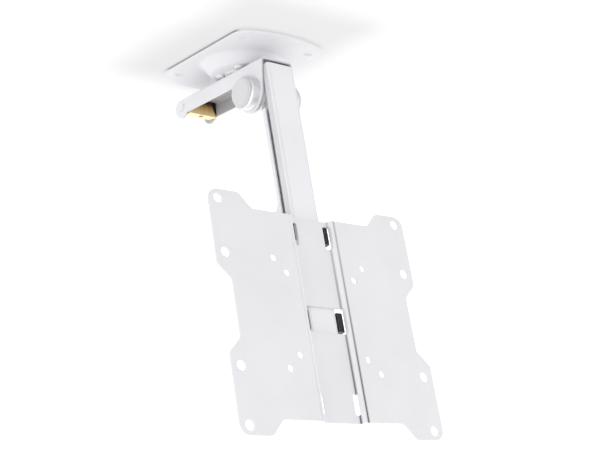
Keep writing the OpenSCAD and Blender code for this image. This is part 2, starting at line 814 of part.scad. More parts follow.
module clamp_screws() {
    back = post_back_y + loose + clamp_back;
    r = clamp_screw_d / 2;
    color(zinc) on_post() for (z = [clamp_up, -clamp_low])
        translate([0, 0, z - tv_down]) rotate([-90, 0, 0]) difference() {
            union() {
                translate([0, 0, post_back_y + slip]) cylinder(r = r, h = back - post_back_y);
                translate([0, 0, back]) cylinder(r = r * 1.7, h = r * 1.2);
            }
            translate([0, 0, back + r * 0.5]) cylinder(r = r * 0.9, h = r * 2, $fn = 6);
        }
}

// Latch plate: a panel across the channel, a slotted lip at its foot and an ear at each side
module latch_side() {
    ear = 5.5;
    square_top = min(panel_top, pin_z - hinge_z + ear);
    translate([latch_pin_back, pin_z - hinge_z]) circle(r = ear);
    polygon([
        [panel_back, lip_z], [lip_end, lip_z], [latch_pin_back + ear * sin(45), pin_z - hinge_z - ear * cos(45)],
        [latch_pin_back, square_top], [panel_back, square_top]
    ]);
}

module latch_panel_2d() {
    w = latch_half;
    r = chan_bend_r - chan_t + 0.3;
    polygon(rounded([[-w, lip_z], [w, lip_z], [w, panel_top], [-w, panel_top]], [0, 0, r, r]));
}

module latch_plate() {
    color(gold) at_hinge() difference() {
        union() {
            along_y(panel_back, panel_back + latch_t) latch_panel_2d();
            translate([-latch_half, panel_back, lip_z]) cube([2 * latch_half, latch_lip, latch_t]);
            for (s = [-1, 1]) translate([s * (latch_half - latch_t / 2), 0, 0])
                along_x(latch_t) latch_side();
        }
        translate([-striker_t / 2 - 0.8, lip_slot_in, lip_z - 1])
            cube([striker_t + 1.6, lip_slot_out - lip_slot_in, latch_t + 2]);
        translate([0, latch_pin_back, pin_z - hinge_z])
            rod_x(-latch_half - 1, latch_half + 1, latch_pin_d / 2 + running);
    }
}

module latch_pin() {
    head = 1.8;
    r = latch_pin_d / 2;
    color(white) translate([0, pin_y, pin_z]) {
        rod_x(-chan_out - 0.5, chan_out + 0.5, r);
        rod_x(-chan_out - head, -chan_out, r * 1.8);
        rod_x(chan_out, chan_out + head, r * 1.5);
    }
}

// Torsion spring: a helix round the pin with one leg on the panel and one on the web above
module latch_spring() {
    wire = 0.5;
    coil_r = latch_pin_d / 2 + 0.35 + wire;
    turns = 5;
    steps = 14;
    pitch = 1.25;
    x0 = -latch_half + latch_t + 1;
    sides = 6;
    rings = turns * steps;
    leg_up = chan_under - pin_z - loose;
    leg_down = pin_z - hinge_z - lip_z - latch_t - loose;
    points = [
        for (i = [0:rings], k = [0:sides - 1])
            let (a = 360 * i / steps + 180, b = 360 * k / sides, r = coil_r + wire * cos(b))
            [x0 + pitch * i / steps + wire * sin(b), r * cos(a), r * sin(a)]
    ];
    skin = [
        for (i = [0:rings - 1], k = [0:sides - 1])
            let (n = (k + 1) % sides)
            [i * sides + k, i * sides + n, (i + 1) * sides + n, (i + 1) * sides + k]
    ];
    ends = [
        [for (k = [sides - 1:-1:0]) k],
        [for (k = [0:sides - 1]) rings * sides + k]
    ];
    color(zinc) translate([0, pin_y, pin_z]) {
        polyhedron(points, concat(skin, ends));
        translate([x0, -coil_r, 0]) rotate([180, 0, 0]) cylinder(r = wire, h = leg_down, $fn = 12);
        translate([x0 + pitch * turns, -coil_r, 0]) cylinder(r = wire, h = leg_up, $fn = 12);
    }
}

ceiling_plate();
backing_plate();
dish_rivets();
swivel_bolt();
swivel_disc();
swivel_washer();
swivel_nut();
channel_bracket();
hinge_drum(-1);  // hinge_drum_left
hinge_drum(1);  // hinge_drum_right
hinge_cap(-1);  // hinge_cap_left
hinge_cap(1);  // hinge_cap_right
hinge_bolt();
hinge_nut();
drum_washers();
disc_springs();
ear_washers();
hinge_yoke();
hinge_sleeve();
post_core();
post_front_shell();
post_back_shell();
post_top_cap();
post_foot_cap();
yoke_rivets();
striker();
striker_screws();
tv_plate();
upper_clamp();
lower_clamp();
clamp_screws();
latch_plate();
latch_pin();
latch_spring();
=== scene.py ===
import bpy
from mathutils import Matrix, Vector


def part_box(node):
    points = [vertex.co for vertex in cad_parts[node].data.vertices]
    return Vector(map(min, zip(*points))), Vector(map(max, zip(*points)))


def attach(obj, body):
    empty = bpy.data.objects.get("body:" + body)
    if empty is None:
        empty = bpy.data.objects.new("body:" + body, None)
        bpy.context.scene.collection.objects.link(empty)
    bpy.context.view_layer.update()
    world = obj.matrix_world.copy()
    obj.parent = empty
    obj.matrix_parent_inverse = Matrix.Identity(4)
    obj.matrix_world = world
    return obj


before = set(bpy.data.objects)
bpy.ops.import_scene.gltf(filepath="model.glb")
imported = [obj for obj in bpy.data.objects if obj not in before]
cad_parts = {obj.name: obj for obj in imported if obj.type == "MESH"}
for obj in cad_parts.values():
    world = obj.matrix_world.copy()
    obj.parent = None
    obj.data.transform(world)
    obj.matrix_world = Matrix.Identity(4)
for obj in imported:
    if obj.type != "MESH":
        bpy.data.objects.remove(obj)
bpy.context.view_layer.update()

import logging
import math
from dataclasses import dataclass, field
from enum import Enum
from typing import Any, Iterable

import bpy
from mathutils import Matrix, Vector

log = logging.getLogger("mount")

MM = 0.001
THREAD_STEPS = 28
RIDGE_SIDES = 6
RIDGE_SHARE = 0.3
RIB_SIDES = 6
Colour = tuple[float, float, float]
Point = tuple[float, float, float]


class Slot(Enum):
    """The record's material slots, and three coats with painted light and shade: screen plate, post's front and
    channel.
    """

    WHITE = "white_coat"
    ZINC = "zinc"
    SATIN = "satin_metal"
    STEEL = "steel"
    GOLD = "yellow_zinc"
    BLACK_PLASTIC = "black_plastic"
    WHITE_PLASTIC = "white_plastic"
    NYLON = "nylon"
    PLATE_CREASE_SHADE = "white_coat_with_painted_crease_shade"
    POST_FRONT_PAINTED_LIGHT = "white_coat_with_painted_light_and_shade_lines"
    CHANNEL_INNER_SHADE = "white_coat_with_painted_inner_shade"


class Body(Enum):
    """The bodies that pieces ride on."""

    CEILING = "ceiling"
    BRACKET = "bracket"
    POST = "post"
    CARRIAGE = "carriage"
    LATCH = "latch"


@dataclass(frozen=True)
class Pose:
    """Where the hinge axis lies and how far the hanging post leans.

    Args:
        hinge: A point on the hinge axis, in metres.
        lean: The post's lean in radians.
    """

    hinge: Vector = field(default_factory=lambda: Vector((0, -38.5, -48)) * MM)
    lean: float = math.radians(11)

    def on_post(self) -> Matrix:
        """Places the post's own frame.

        Returns:
            The matrix from the post's frame to the row frame.
        """
        return Matrix.Translation(self.hinge) @ Matrix.Rotation(-self.lean, 4, "X")


class Graph:
    """A material's node tree, with short calls to add and join nodes."""

    def __init__(self, name: str) -> None:
        """Makes an empty material.

        Args:
            name: The material's name.
        """
        self.material = bpy.data.materials.new(name)
        self.material.use_nodes = True
        self.tree = self.material.node_tree
        self.tree.nodes.clear()

    def add(self, kind: str, **inputs: Any) -> bpy.types.Node:
        """Adds a node and sets its inputs.

        Args:
            kind: The node's type without the ShaderNode prefix.
            inputs: Input names, with underscores for spaces, and their values or sockets.

        Returns:
            The new node.
        """
        node = self.tree.nodes.new("ShaderNode" + kind)
        for key, value in inputs.items():
            self.put(node.inputs[key.replace("_", " ")], value)
        return node

    def put(self, socket: bpy.types.NodeSocket, value: Any) -> None:
        """Sets a socket to a value, or links another socket to it.

        Args:
            socket: The input socket.
            value: A value, or the output socket to link.
        """
        if isinstance(value, bpy.types.NodeSocket):
            self.tree.links.new(value, socket)
        else:
            socket.default_value = value

    def math(self, operation: str, *values: Any) -> bpy.types.NodeSocket:
        """Adds a Math node.

        Args:
            operation: The operation's name.
            values: Its inputs in order.

        Returns:
            The result's socket.
        """
        node = self.tree.nodes.new("ShaderNodeMath")
        node.operation = operation
        for socket, value in zip(node.inputs, values):
            self.put(socket, value)
        return node.outputs[0]

    def position(self) -> bpy.types.NodeSocket:
        """Reads the place on the object.

        Returns:
            The object coordinates' socket.
        """
        return self.add("TexCoord").outputs["Object"]

    def noise(self, scale: float, detail: float = 2.0, stretch: Point = (1, 1, 1)) -> bpy.types.NodeSocket:
        """Adds a noise pattern on object coordinates.

        Args:
            scale: The noise scale, per metre.
            detail: The number of octaves.
            stretch: Scales along X, Y and Z.

        Returns:
            The noise value's socket.
        """
        mapping = self.add("Mapping", Vector=self.position(), Scale=stretch)
        pattern = self.add("TexNoise", Vector=mapping.outputs[0], Scale=scale, Detail=detail)
        return pattern.outputs["Fac"]

    def ramp(self, factor: bpy.types.NodeSocket, stops: Iterable[tuple[float, Colour]]) -> bpy.types.NodeSocket:
        """Adds a colour ramp.

        Args:
            factor: The socket that drives it.
            stops: Places and colours, from low to high.

        Returns:
            The colour's socket.
        """
        node = self.add("ValToRGB", Fac=factor)
        elements = node.color_ramp.elements
        for index, (place, colour) in enumerate(stops):
            element = elements[index] if index < 2 else elements.new(place)
            element.position = place
            element.color = (*colour, 1.0)
        return node.outputs["Color"]

    def span(self, value: Any, source: tuple[float, float], target: tuple[float, float]) -> bpy.types.NodeSocket:
        """Maps a value from one range onto another, smoothly and without going past its ends.

        Args:
            value: The value's socket.
            source: The range that it is read in.
            target: The range that it is given out in.

        Returns:
            The mapped value's socket.
        """
        node = self.add("MapRange", Value=value)
        node.interpolation_type = "SMOOTHSTEP"
        for key, number in zip(("From Min", "From Max", "To Min", "To Max"), (*source, *target)):
            node.inputs[key].default_value = number
        return node.outputs[0]

    def spread(self, factor: bpy.types.NodeSocket, low: float, high: float) -> bpy.types.NodeSocket:
        """Maps a noise value of about 0.3 to 0.7 onto another range.

        Args:
            factor: The noise value's socket.
            low: The range's low end.
            high: Its high end.

        Returns:
            The mapped value's socket.
        """
        return self.span(factor, (0.3, 0.7), (low, high))

    def bump(self, height: bpy.types.NodeSocket, depth: float, strength: float) -> bpy.types.NodeSocket:
        """Adds a bump.

        Args:
            height: The height's socket.
            depth: The bump's depth in metres.
            strength: Its strength.

        Returns:
            The normal's socket.
        """
        return self.add("Bump", Height=height, Distance=depth, Strength=strength).outputs["Normal"]

    def finish(self, shader: bpy.types.NodeSocket) -> bpy.types.Material:
        """Joins the shader to the output.

        Args:
            shader: The shader's socket.

        Returns:
            The material.
        """
        self.add("OutputMaterial", Surface=shader)
        return self.material


def tint(colour: Colour, share: float) -> Colour:
    """Scales a colour's light.

    Args:
        colour: The linear colour.
        share: What its light is multiplied by.

    Returns:
        The scaled colour, with no part above 1.
    """
    return tuple(min(1.0, part * share) for part in colour)


@dataclass(frozen=True)
class PowderCoat:
    """A baked powder coat: faint orange peel, small shifts of tone and of gloss.

    Args:
        name: The material's name.
        colour: Its linear colour.
        roughness: The mean roughness.
        peel: The depth of the orange peel, in metres.
        tone: How far the tone shifts.
        specular: The specular level.
    """

    name: str
    colour: Colour
    roughness: float = 0.42
    peel: float = 0.00002
    tone: float = 0.02
    specular: float = 0.5

    def material(self) -> bpy.types.Material:
        """Builds the finish.

        Returns:
            The finish as a material.
        """
        graph = Graph(self.name)
        cloud = graph.noise(22, 3)
        grain = graph.noise(1700, 2)
        dark, light = tint(self.colour, 1 - self.tone), tint(self.colour, 1 + self.tone)
        colour = graph.ramp(cloud, ((0.3, dark), (0.7, light)))
        rough = graph.spread(graph.noise(60, 3), self.roughness - 0.05, self.roughness + 0.05)
        shader = graph.add("BsdfPrincipled", Base_Color=self.shade(graph, colour), Roughness=rough,
                           Normal=graph.bump(grain, self.peel, 0.35))
        shader.inputs["Specular IOR Level"].default_value = self.specular
        return graph.finish(shader.outputs[0])

    def shade(self, graph: Graph, colour: bpy.types.NodeSocket) -> bpy.types.NodeSocket:
        """Leaves the coat's colour as it is. A coat with painted shade darkens it.

        Args:
            graph: The material's graph.
            colour: The coat's colour.

        Returns:
            The colour's socket.
        """
        return colour


@dataclass(frozen=True)
class ShadeBand:
    """A long upright band of painted shade on a coat, darkest in its middle.

    Args:
        place: Its place along X, in metres.
        width: Its half width.
        kept: How much light it keeps in its middle.
        flat: How much of its half width is evenly dark.
    """

    place: float
    width: float
    kept: float
    flat: float = 0.0


@dataclass(frozen=True)
class CoatWithPaintedShade(PowderCoat):
    """A powder coat with long upright bands of painted shade.

    Args:
        shade_bands: The bands of painted shade.
        top: The height where the painted shade is faint, in metres.
        foot: The height where the painted shade is deep.
        faint: How much of the painted shade is left at the top.
    """

    shade_bands: tuple[ShadeBand, ...] = ()
    top: float = 0.0
    foot: float = -1.0
    faint: float = 0.25

    def shade(self, graph: Graph, colour: bpy.types.NodeSocket) -> bpy.types.NodeSocket:
        """Paints shade on the coat along its bands.

        Args:
            graph: The material's graph.
            colour: The coat's colour.

        Returns:
            The colour's socket.
        """
        split = graph.add("SeparateXYZ", Vector=graph.position())
        depth = graph.span(split.outputs["Z"], (self.foot, self.top), (1.0, self.faint))
        # Each band paints shade on the coat, deepest at the foot and faint at the top.
        for band in self.shade_bands:
            off = graph.math("ABSOLUTE", graph.math("SUBTRACT", split.outputs["X"], band.place))
            near = graph.span(off, (band.flat, band.width), (1.0 - band.kept, 0.0))
            share = graph.math("SUBTRACT", 1.0, graph.math("MULTIPLY", near, depth))
            scaled = graph.tree.nodes.new("ShaderNodeVectorMath")
            scaled.operation = "SCALE"
            graph.put(scaled.inputs[0], colour)
            graph.put(scaled.inputs["Scale"], share)
            colour = scaled.outputs[0]
        return colour


@dataclass(frozen=True)
class Plated:
    """Plated steel: fine drawing lines, clouds in the plating and a slight shift of hue.

    Args:
        name: The material's name.
        low: The darker linear colour.
        high: The lighter linear colour.
        roughness: The mean roughness.
        scale: The scale of the drawing lines, per metre.
        stretch: How the lines are stretched along X, Y and Z.
        metal: How much of the surface is bare metal.
    """

    name: str
    low: Colour
    high: Colour
    roughness: float = 0.32
    scale: float = 900
    stretch: Point = (0.08, 1, 1)
    metal: float = 1.0

    def material(self) -> bpy.types.Material:
        """Builds the finish.

        Returns:
            The finish as a material.
        """
        graph = Graph(self.name)
        colour = graph.ramp(graph.noise(160, 4), ((0.32, self.low), (0.68, self.high)))
        lines = graph.noise(self.scale, 3, self.stretch)
        rough = graph.spread(lines, self.roughness - 0.1, self.roughness + 0.12)
        shader = graph.add(
            "BsdfPrincipled", Base_Color=colour, Roughness=rough, Normal=graph.bump(lines, 0.00001, 0.3))
        shader.inputs["Metallic"].default_value = self.metal
        return graph.finish(shader.outputs[0])


@dataclass(frozen=True)
class PassivatedWithPaintedShade:
    """Yellow passivated plating, with painted shade that darkens it to brown and near black towards the top and
    one upper corner.

    Args:
        name: The material's name.
        foot: The height of the panel's foot, in metres.
        top: The height of its top, in metres.
        corner: The place in X and Z where the painted shade of the upper corner begins at the top.
        slope: The direction in X and Z that the painted shade of the corner deepens in.
    """

    name: str
    foot: float
    top: float
    corner: tuple[float, float] = (8.3 * MM, -18.3 * MM)
    slope: tuple[float, float] = (0.865, 0.502)

    def material(self) -> bpy.types.Material:
        """Builds the finish.

        Returns:
            The finish as a material.
        """
        graph = Graph(self.name)
        split = graph.add("SeparateXYZ", Vector=graph.position())
        cloud = graph.noise(230, 4)
        # Painted shade inside the channel: darker towards the panel's top and towards one upper corner.
        height = graph.span(split.outputs["Z"], (self.foot, self.top), (0.0, 0.95))
        across, along = (
            graph.math("MULTIPLY", graph.math("SUBTRACT", split.outputs[axis], place), share)
            for axis, place, share in zip(("X", "Z"), self.corner, self.slope))
        dark = graph.span(graph.math("ADD", across, along), (-2.5 * MM, 1 * MM), (0.0, 1.0))
        mixed = graph.math("MAXIMUM", height, dark)
        mixed = graph.math("ADD", mixed, graph.math("MULTIPLY", graph.math("SUBTRACT", cloud, 0.5), 0.25))
        colour = graph.ramp(mixed, (
            (0.0, (0.98, 0.80, 0.46)), (1.0, (0.008, 0.006, 0.004)),
            (0.16, (0.90, 0.65, 0.29)), (0.5, (0.62, 0.39, 0.155)), (0.78, (0.19, 0.105, 0.04)),
        ))
        rough = graph.spread(cloud, 0.3, 0.5)
        shader = graph.add(
            "BsdfPrincipled", Base_Color=colour, Roughness=rough, Normal=graph.bump(cloud, 0.00004, 0.25))
        shader.inputs["Metallic"].default_value = 0.55
        return graph.finish(shader.outputs[0])


@dataclass(frozen=True)
class Moulded:
    """Moulded plastic with a spark-eroded grain.

    Args:
        name: The material's name.
        colour: Its linear colour.
        roughness: The mean roughness.
        grain: The depth of the grain, in metres.
    """

    name: str
    colour: Colour
    roughness: float = 0.5
    grain: float = 0.00003

    def material(self) -> bpy.types.Material:
        """Builds the finish.

        Returns:
            The finish as a material.
        """
        graph = Graph(self.name)
        cells = graph.noise(2600, 1)
        colour = graph.ramp(graph.noise(90, 2), ((0.3, tint(self.colour, 0.92)), (0.7, tint(self.colour, 1.06))))
        rough = graph.spread(cells, self.roughness - 0.06, self.roughness + 0.06)
        shader = graph.add(
            "BsdfPrincipled", Base_Color=colour, Roughness=rough, Normal=graph.bump(cells, self.grain, 0.4))
        return graph.finish(shader.outputs[0])


@dataclass
class Finishes:
    """All of the mount's finishes, made once and shared.

    Args:
        made: The materials made so far, by slot.
    """

    made: dict[Slot, bpy.types.Material] = field(default_factory=dict)

    def get(self, slot: Slot) -> bpy.types.Material:
        """Gets the material of a slot, and makes it on its first use.

        Args:
            slot: The slot.

        Returns:
            The material.
        """
        if slot not in self.made:
            self.made[slot] = self.recipe(slot).material()
        return self.made[slot]

    def recipe(self, slot: Slot) -> Any:
        """Looks up the finish that a slot has.

        Args:
            slot: The slot.

        Returns:
            The finish.
        """
        panel_low, panel_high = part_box("latch_plate")
        plate_low, plate_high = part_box("tv_plate")
        channel_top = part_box("channel_bracket")[1].z
        cap_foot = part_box("hinge_cap_left")[1].x
        white = (0.82, 0.818, 0.838)
        # Painted shade along the foot of the screen plate's recess and along its groove, deeper towards the
        # plate's foot.
        plate_crease_shade = (ShadeBand(19.9 * MM, 1.1 * MM, 0.08), ShadeBand(24.9 * MM, 2.1 * MM, 0.02))
        # Thin lines of painted shade near the bends of the post's front.
        post_shade_lines = tuple(
            ShadeBand(side * place * MM, 0.45 * MM, 0.76) for side in (-1, 1) for place in (13, 14.3, 15.5))
        # A ring of painted shade on each cap, where it meets its drum.
        cap_shade_rings = tuple(ShadeBand(side * cap_foot, 2.0 * MM, 0.12) for side in (-1, 1))
        # Painted shade inside the channel, under its web, kept off the web's top.
        channel_inner_shade = (ShadeBand(0, 17.6 * MM, 0.64, 16.8 * MM),)
        return {
            Slot.WHITE: PowderCoat("white_powder_coat", white),
            Slot.PLATE_CREASE_SHADE: CoatWithPaintedShade(
                "powder_coat_with_painted_crease_shade", white, shade_bands=plate_crease_shade, top=plate_high.z, foot=plate_low.z,
                faint=0.4),
            # The post front's coat is the white coat lightened by 7 % as painted light, with its lines of
            # painted shade.
            Slot.POST_FRONT_PAINTED_LIGHT: CoatWithPaintedShade("powder_coat_with_painted_light_and_shade_lines", tint(white, 1.07), shade_bands=post_shade_lines, faint=1.0),
            Slot.CHANNEL_INNER_SHADE: CoatWithPaintedShade(
                "powder_coat_with_painted_inner_shade", white, shade_bands=channel_inner_shade, top=channel_top - 0.6 * MM,
                foot=channel_top - 2.4 * MM, faint=0.0),
            Slot.ZINC: Plated("bright_zinc", (0.50, 0.51, 0.53), (0.72, 0.73, 0.74)),
            Slot.SATIN: Plated(
                "turned_satin_metal", (0.63, 0.63, 0.65), (0.73, 0.73, 0.745), roughness=0.5, scale=1100,
                stretch=(1, 0.05, 0.05), metal=0.8),
            Slot.STEEL: Plated(
                "drawn_steel", (0.44, 0.44, 0.46), (0.64, 0.64, 0.66), roughness=0.42, scale=700,
                stretch=(1, 1, 0.04), metal=0.4),
            Slot.GOLD: PassivatedWithPaintedShade("yellow_zinc_with_painted_shade", panel_low.z, panel_high.z),
            Slot.BLACK_PLASTIC: Moulded("black_moulding", (0.010, 0.010, 0.011)),
            Slot.WHITE_PLASTIC: CoatWithPaintedShade(
                "white_moulding_with_painted_ring_shade", (0.70, 0.695, 0.715), roughness=0.5, specular=0.25, shade_bands=cap_shade_rings,
                faint=1.0),
            Slot.NYLON: Moulded("natural_nylon", (0.80, 0.80, 0.78), roughness=0.45),
        }[slot]


@dataclass
class SubAssembly:
    """Pieces of one kind on one body: its solids get their finish, and new pieces ride with it.

    Args:
        finishes: The shared finishes.
        body: The body that its pieces ride on.
        dress: The solids and the slot that each is finished as.
    """

    finishes: Finishes
    body: Body
    dress: dict[str, Slot]

    def finish_solids(self) -> None:
        """Gives each solid of the sub-assembly its finish."""
        for node, slot in self.dress.items():
            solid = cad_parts[node]
            if not solid.material_slots:
                solid.data.materials.append(None)
            for place in solid.material_slots:
                place.material = self.finishes.get(slot)
            log.info("finished %s as %s", node, slot.value)

    def keep(self, name: str, mesh: bpy.types.Mesh, slot: Slot) -> bpy.types.Object:
        """Links a new piece, gives it a finish and lets it ride on the body.

        Args:
            name: The piece's name.
            mesh: Its mesh, in the row frame.
            slot: The slot of its finish.

        Returns:
            The piece.
        """
        piece = bpy.data.objects.new(name, mesh)
        bpy.context.scene.collection.objects.link(piece)
        mesh.materials.clear()
        mesh.materials.append(self.finishes.get(slot))
        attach(piece, self.body.value)
        log.info("made %s with %d faces", name, len(mesh.polygons))
        return piece

    def build(self) -> None:
        """Dresses the solids. A sub-assembly with pieces of its own adds them after."""
        self.finish_solids()


class GeometryTree:
    """A Geometry Nodes tree with named inputs, which is run once and turned into a mesh."""

    def __init__(self, name: str, inputs: dict[str, tuple[str, Any]]) -> None:
        """Makes the tree's interface.

        Args:
            name: The tree's name.
            inputs: The inputs' names, socket types and values.
        """
        self.tree = bpy.data.node_groups.new(name, "GeometryNodeTree")
        self.values = {key: value for key, (kind, value) in inputs.items()}
        self.tree.interface.new_socket("Geometry", in_out="OUTPUT", socket_type="NodeSocketGeometry")
        for key, (kind, value) in inputs.items():
            self.tree.interface.new_socket(key, in_out="INPUT", socket_type=kind)
        self.source = self.tree.nodes.new("NodeGroupInput")
        self.sink = self.tree.nodes.new("NodeGroupOutput")

    def add(self, kind: str, **inputs: Any) -> bpy.types.Node:
        """Adds a node and sets or links its inputs.

        Args:
            kind: The node's full type name.
            inputs: Input names, with underscores for spaces, and their values or sockets.

        Returns:
            The new node.
        """
        node = self.tree.nodes.new(kind)
        for key, value in inputs.items():
            self.put(node.inputs[key.replace("_", " ")], value)
        return node

    def put(self, socket: bpy.types.NodeSocket, value: Any) -> None:
        """Sets a socket to a value, or links another socket to it.

        Args:
            socket: The input socket.
            value: A value, or the output socket to link.
        """
        if isinstance(value, bpy.types.NodeSocket):
            self.tree.links.new(value, socket)
        else:
            socket.default_value = value

    def given(self, name: str) -> bpy.types.NodeSocket:
        """Finds one of the tree's inputs.

        Args:
            name: The input's name.

        Returns:
            Its socket.
        """
        return self.source.outputs[name]

    def maths(self, operation: str, *values: Any) -> bpy.types.NodeSocket:
        """Adds a Math node.

        Args:
            operation: The operation's name.
            values: Its inputs in order.

        Returns:
            The result's socket.
        """
        node = self.tree.nodes.new("ShaderNodeMath")
        node.operation = operation
        for socket, value in zip(node.inputs, values):
            self.put(socket, value)
        return node.outputs[0]

    def close(self, geometry: bpy.types.NodeSocket, material: bpy.types.Material) -> None:
        """Realizes the instances, sets the material and joins the output.

        Args:
            geometry: The geometry to give out.
            material: Its material.
        """
        real = self.add("GeometryNodeRealizeInstances", Geometry=geometry)
        dressed = self.add("GeometryNodeSetMaterial", Geometry=real.outputs[0])
        dressed.inputs["Material"].default_value = material
        self.tree.links.new(dressed.outputs[0], self.sink.inputs[0])

    def mesh(self, name: str, place: Matrix) -> bpy.types.Mesh:
        """Runs the tree on an empty mesh.

        Args:
            name: The new mesh's name.
            place: The matrix that puts the result in the row frame.

        Returns:
            A plain mesh, in the row frame.
        """
        holder = bpy.data.objects.new(name + "_holder", bpy.data.meshes.new(name + "_holder"))
        bpy.context.scene.collection.objects.link(holder)
        modifier = holder.modifiers.new("nodes", "NODES")
        modifier.node_group = self.tree
        for item in self.tree.interface.items_tree:
            if item.item_type == "SOCKET" and item.in_out == "INPUT":
                modifier[item.identifier] = self.values[item.name]
        bpy.context.view_layer.update()
        evaluated = holder.evaluated_get(bpy.context.evaluated_depsgraph_get())
        result = bpy.data.meshes.new_from_object(evaluated)
        holder.modifiers.remove(modifier)
        bpy.data.objects.remove(holder)
        result.name = name
        result.transform(place)
        return result


def thread_mesh(name: str, radius: float, length: float, pitch: float, place: Matrix,
                material: bpy.types.Material) -> bpy.types.Mesh:
    """Makes a screw thread's ridge: a thin wire wound round a shank along +Z.

    Args:
        name: The mesh's name.
        radius: The shank's radius.
        length: The thread's length.
        pitch: The thread's pitch.
        place: The matrix that puts it in the row frame.
        material: Its finish.

    Returns:
        The mesh, in the row frame.
    """
    tree = GeometryTree(name, {
        "Radius": ("NodeSocketFloat", radius), "Length": ("NodeSocketFloat", length),
        "Pitch": ("NodeSocketFloat", pitch),
    })
    turns = tree.maths("DIVIDE", tree.given("Length"), tree.given("Pitch"))
    spiral = tree.add("GeometryNodeCurveSpiral", Resolution=THREAD_STEPS, Rotations=turns,
                      Start_Radius=tree.given("Radius"), End_Radius=tree.given("Radius"),
                      Height=tree.given("Length"))
    ridge = tree.add("GeometryNodeCurvePrimitiveCircle", Resolution=RIDGE_SIDES)
    tree.put(ridge.inputs["Radius"], tree.maths("MULTIPLY", tree.given("Pitch"), RIDGE_SHARE))
    tube = tree.add("GeometryNodeCurveToMesh", Curve=spiral.outputs[0], Profile_Curve=ridge.outputs["Curve"])
    tube.inputs["Fill Caps"].default_value = True
    tree.close(tube.outputs[0], material)
    return tree.mesh(name, place)


def ribs_mesh(name: str, radius: float, height: float, count: int, width: float, place: Matrix,
              material: bpy.types.Material) -> bpy.types.Mesh:
    """Makes a ring of small upright ribs round +Z, such as a knurl.

    Args:
        name: The mesh's name.
        radius: The radius that the ribs stand on.
        height: Their height.
        count: How many there are.
        width: The width of one.
        place: The matrix that puts the ring in the row frame.
        material: Their finish.

    Returns:
        The mesh, in the row frame.
    """
    tree = GeometryTree(name, {
        "Radius": ("NodeSocketFloat", radius), "Height": ("NodeSocketFloat", height),
        "Width": ("NodeSocketFloat", width), "Count": ("NodeSocketInt", count),
    })
    ring = tree.add("GeometryNodeCurvePrimitiveCircle", Resolution=tree.given("Count"))
    tree.put(ring.inputs["Radius"], tree.given("Radius"))
    points = tree.add("GeometryNodeCurveToPoints", Curve=ring.outputs["Curve"])
    points.mode = "EVALUATED"
    rib = tree.add("GeometryNodeMeshCylinder", Vertices=RIB_SIDES, Depth=tree.given("Height"))
    tree.put(rib.inputs["Radius"], tree.maths("MULTIPLY", tree.given("Width"), 0.5))
    copies = tree.add("GeometryNodeInstanceOnPoints", Points=points.outputs["Points"],
                      Instance=rib.outputs["Mesh"])
    tree.close(copies.outputs[0], material)
    return tree.mesh(name, place)


@dataclass
class SwivelGroup(SubAssembly):
    """The ceiling plate and all that is fixed to it.

    Args:
        bolt_radius: The swivel bolt's radius.
        pitch: The pitch of its thread.
        chamfer: The height of the chamfer at its tip.
    """

    bolt_radius: float = 5 * MM
    pitch: float = 1 * MM
    chamfer: float = 0.4 * MM

    def build(self) -> None:
        """Dresses the solids and adds the bolt's thread."""
        super().build()
        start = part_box("swivel_bolt")[0].z + self.chamfer
        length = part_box("swivel_nut")[0].z - start
        thread = thread_mesh("swivel_thread", self.bolt_radius - 0.1 * MM, length, self.pitch,
                             Matrix.Translation((0, 0, start)), self.finishes.get(Slot.ZINC))
        self.keep("swivel_thread", thread, Slot.ZINC)


@dataclass
class ScreenGroup(SubAssembly):
    """The screen plate, its clamps and their screws.

    Args:
        pose: The hinge and the post's lean.
        knurls: How many ribs a screw's head has.
        head_radius: The radius of a head.
        rib_height: The height of the ribs.
        rib_width: The width of one.
        rib_back: How far the middle of the ribs lies behind the hinge axis.
        heights: How far along the post the screws are.
    """

    pose: Pose = field(default_factory=Pose)
    knurls: int = 36
    head_radius: float = 5.1 * MM
    rib_height: float = 2.6 * MM
    rib_width: float = 0.7 * MM
    rib_back: float = 1.6 * MM
    heights: tuple[float, float] = (-153.5 * MM, -237.5 * MM)

    def build(self) -> None:
        """Dresses the solids and knurls the heads of the clamp screws."""
        super().build()
        for number, height in enumerate(self.heights, 1):
            place = self.pose.on_post() @ Matrix.Translation((0, self.rib_back, height))
            place = place @ Matrix.Rotation(-math.pi / 2, 4, "X")
            name = f"clamp_screw_knurl_{number}"
            knurl = ribs_mesh(name, self.head_radius, self.rib_height, self.knurls, self.rib_width, place,
                              self.finishes.get(Slot.ZINC))
            self.keep(name, knurl, Slot.ZINC)


@dataclass(frozen=True)
class Lamp:
    """A square soft lamp.

    Args:
        name: The lamp's name.
        place: Where it hangs.
        target: What it points at.
        size: Its side.
        power: Its power in watts.
    """

    name: str
    place: Point
    target: Point
    size: float
    power: float

    def hang(self) -> None:
        """Adds the lamp to the scene."""
        data = bpy.data.lights.new(self.name, "AREA")
        data.shape = "SQUARE"
        data.size = self.size
        data.energy = self.power
        lamp = bpy.data.objects.new(self.name, data)
        lamp.location = self.place
        lamp.rotation_euler = (Vector(self.target) - Vector(self.place)).to_track_quat("-Z", "Y").to_euler()
        bpy.context.scene.collection.objects.link(lamp)


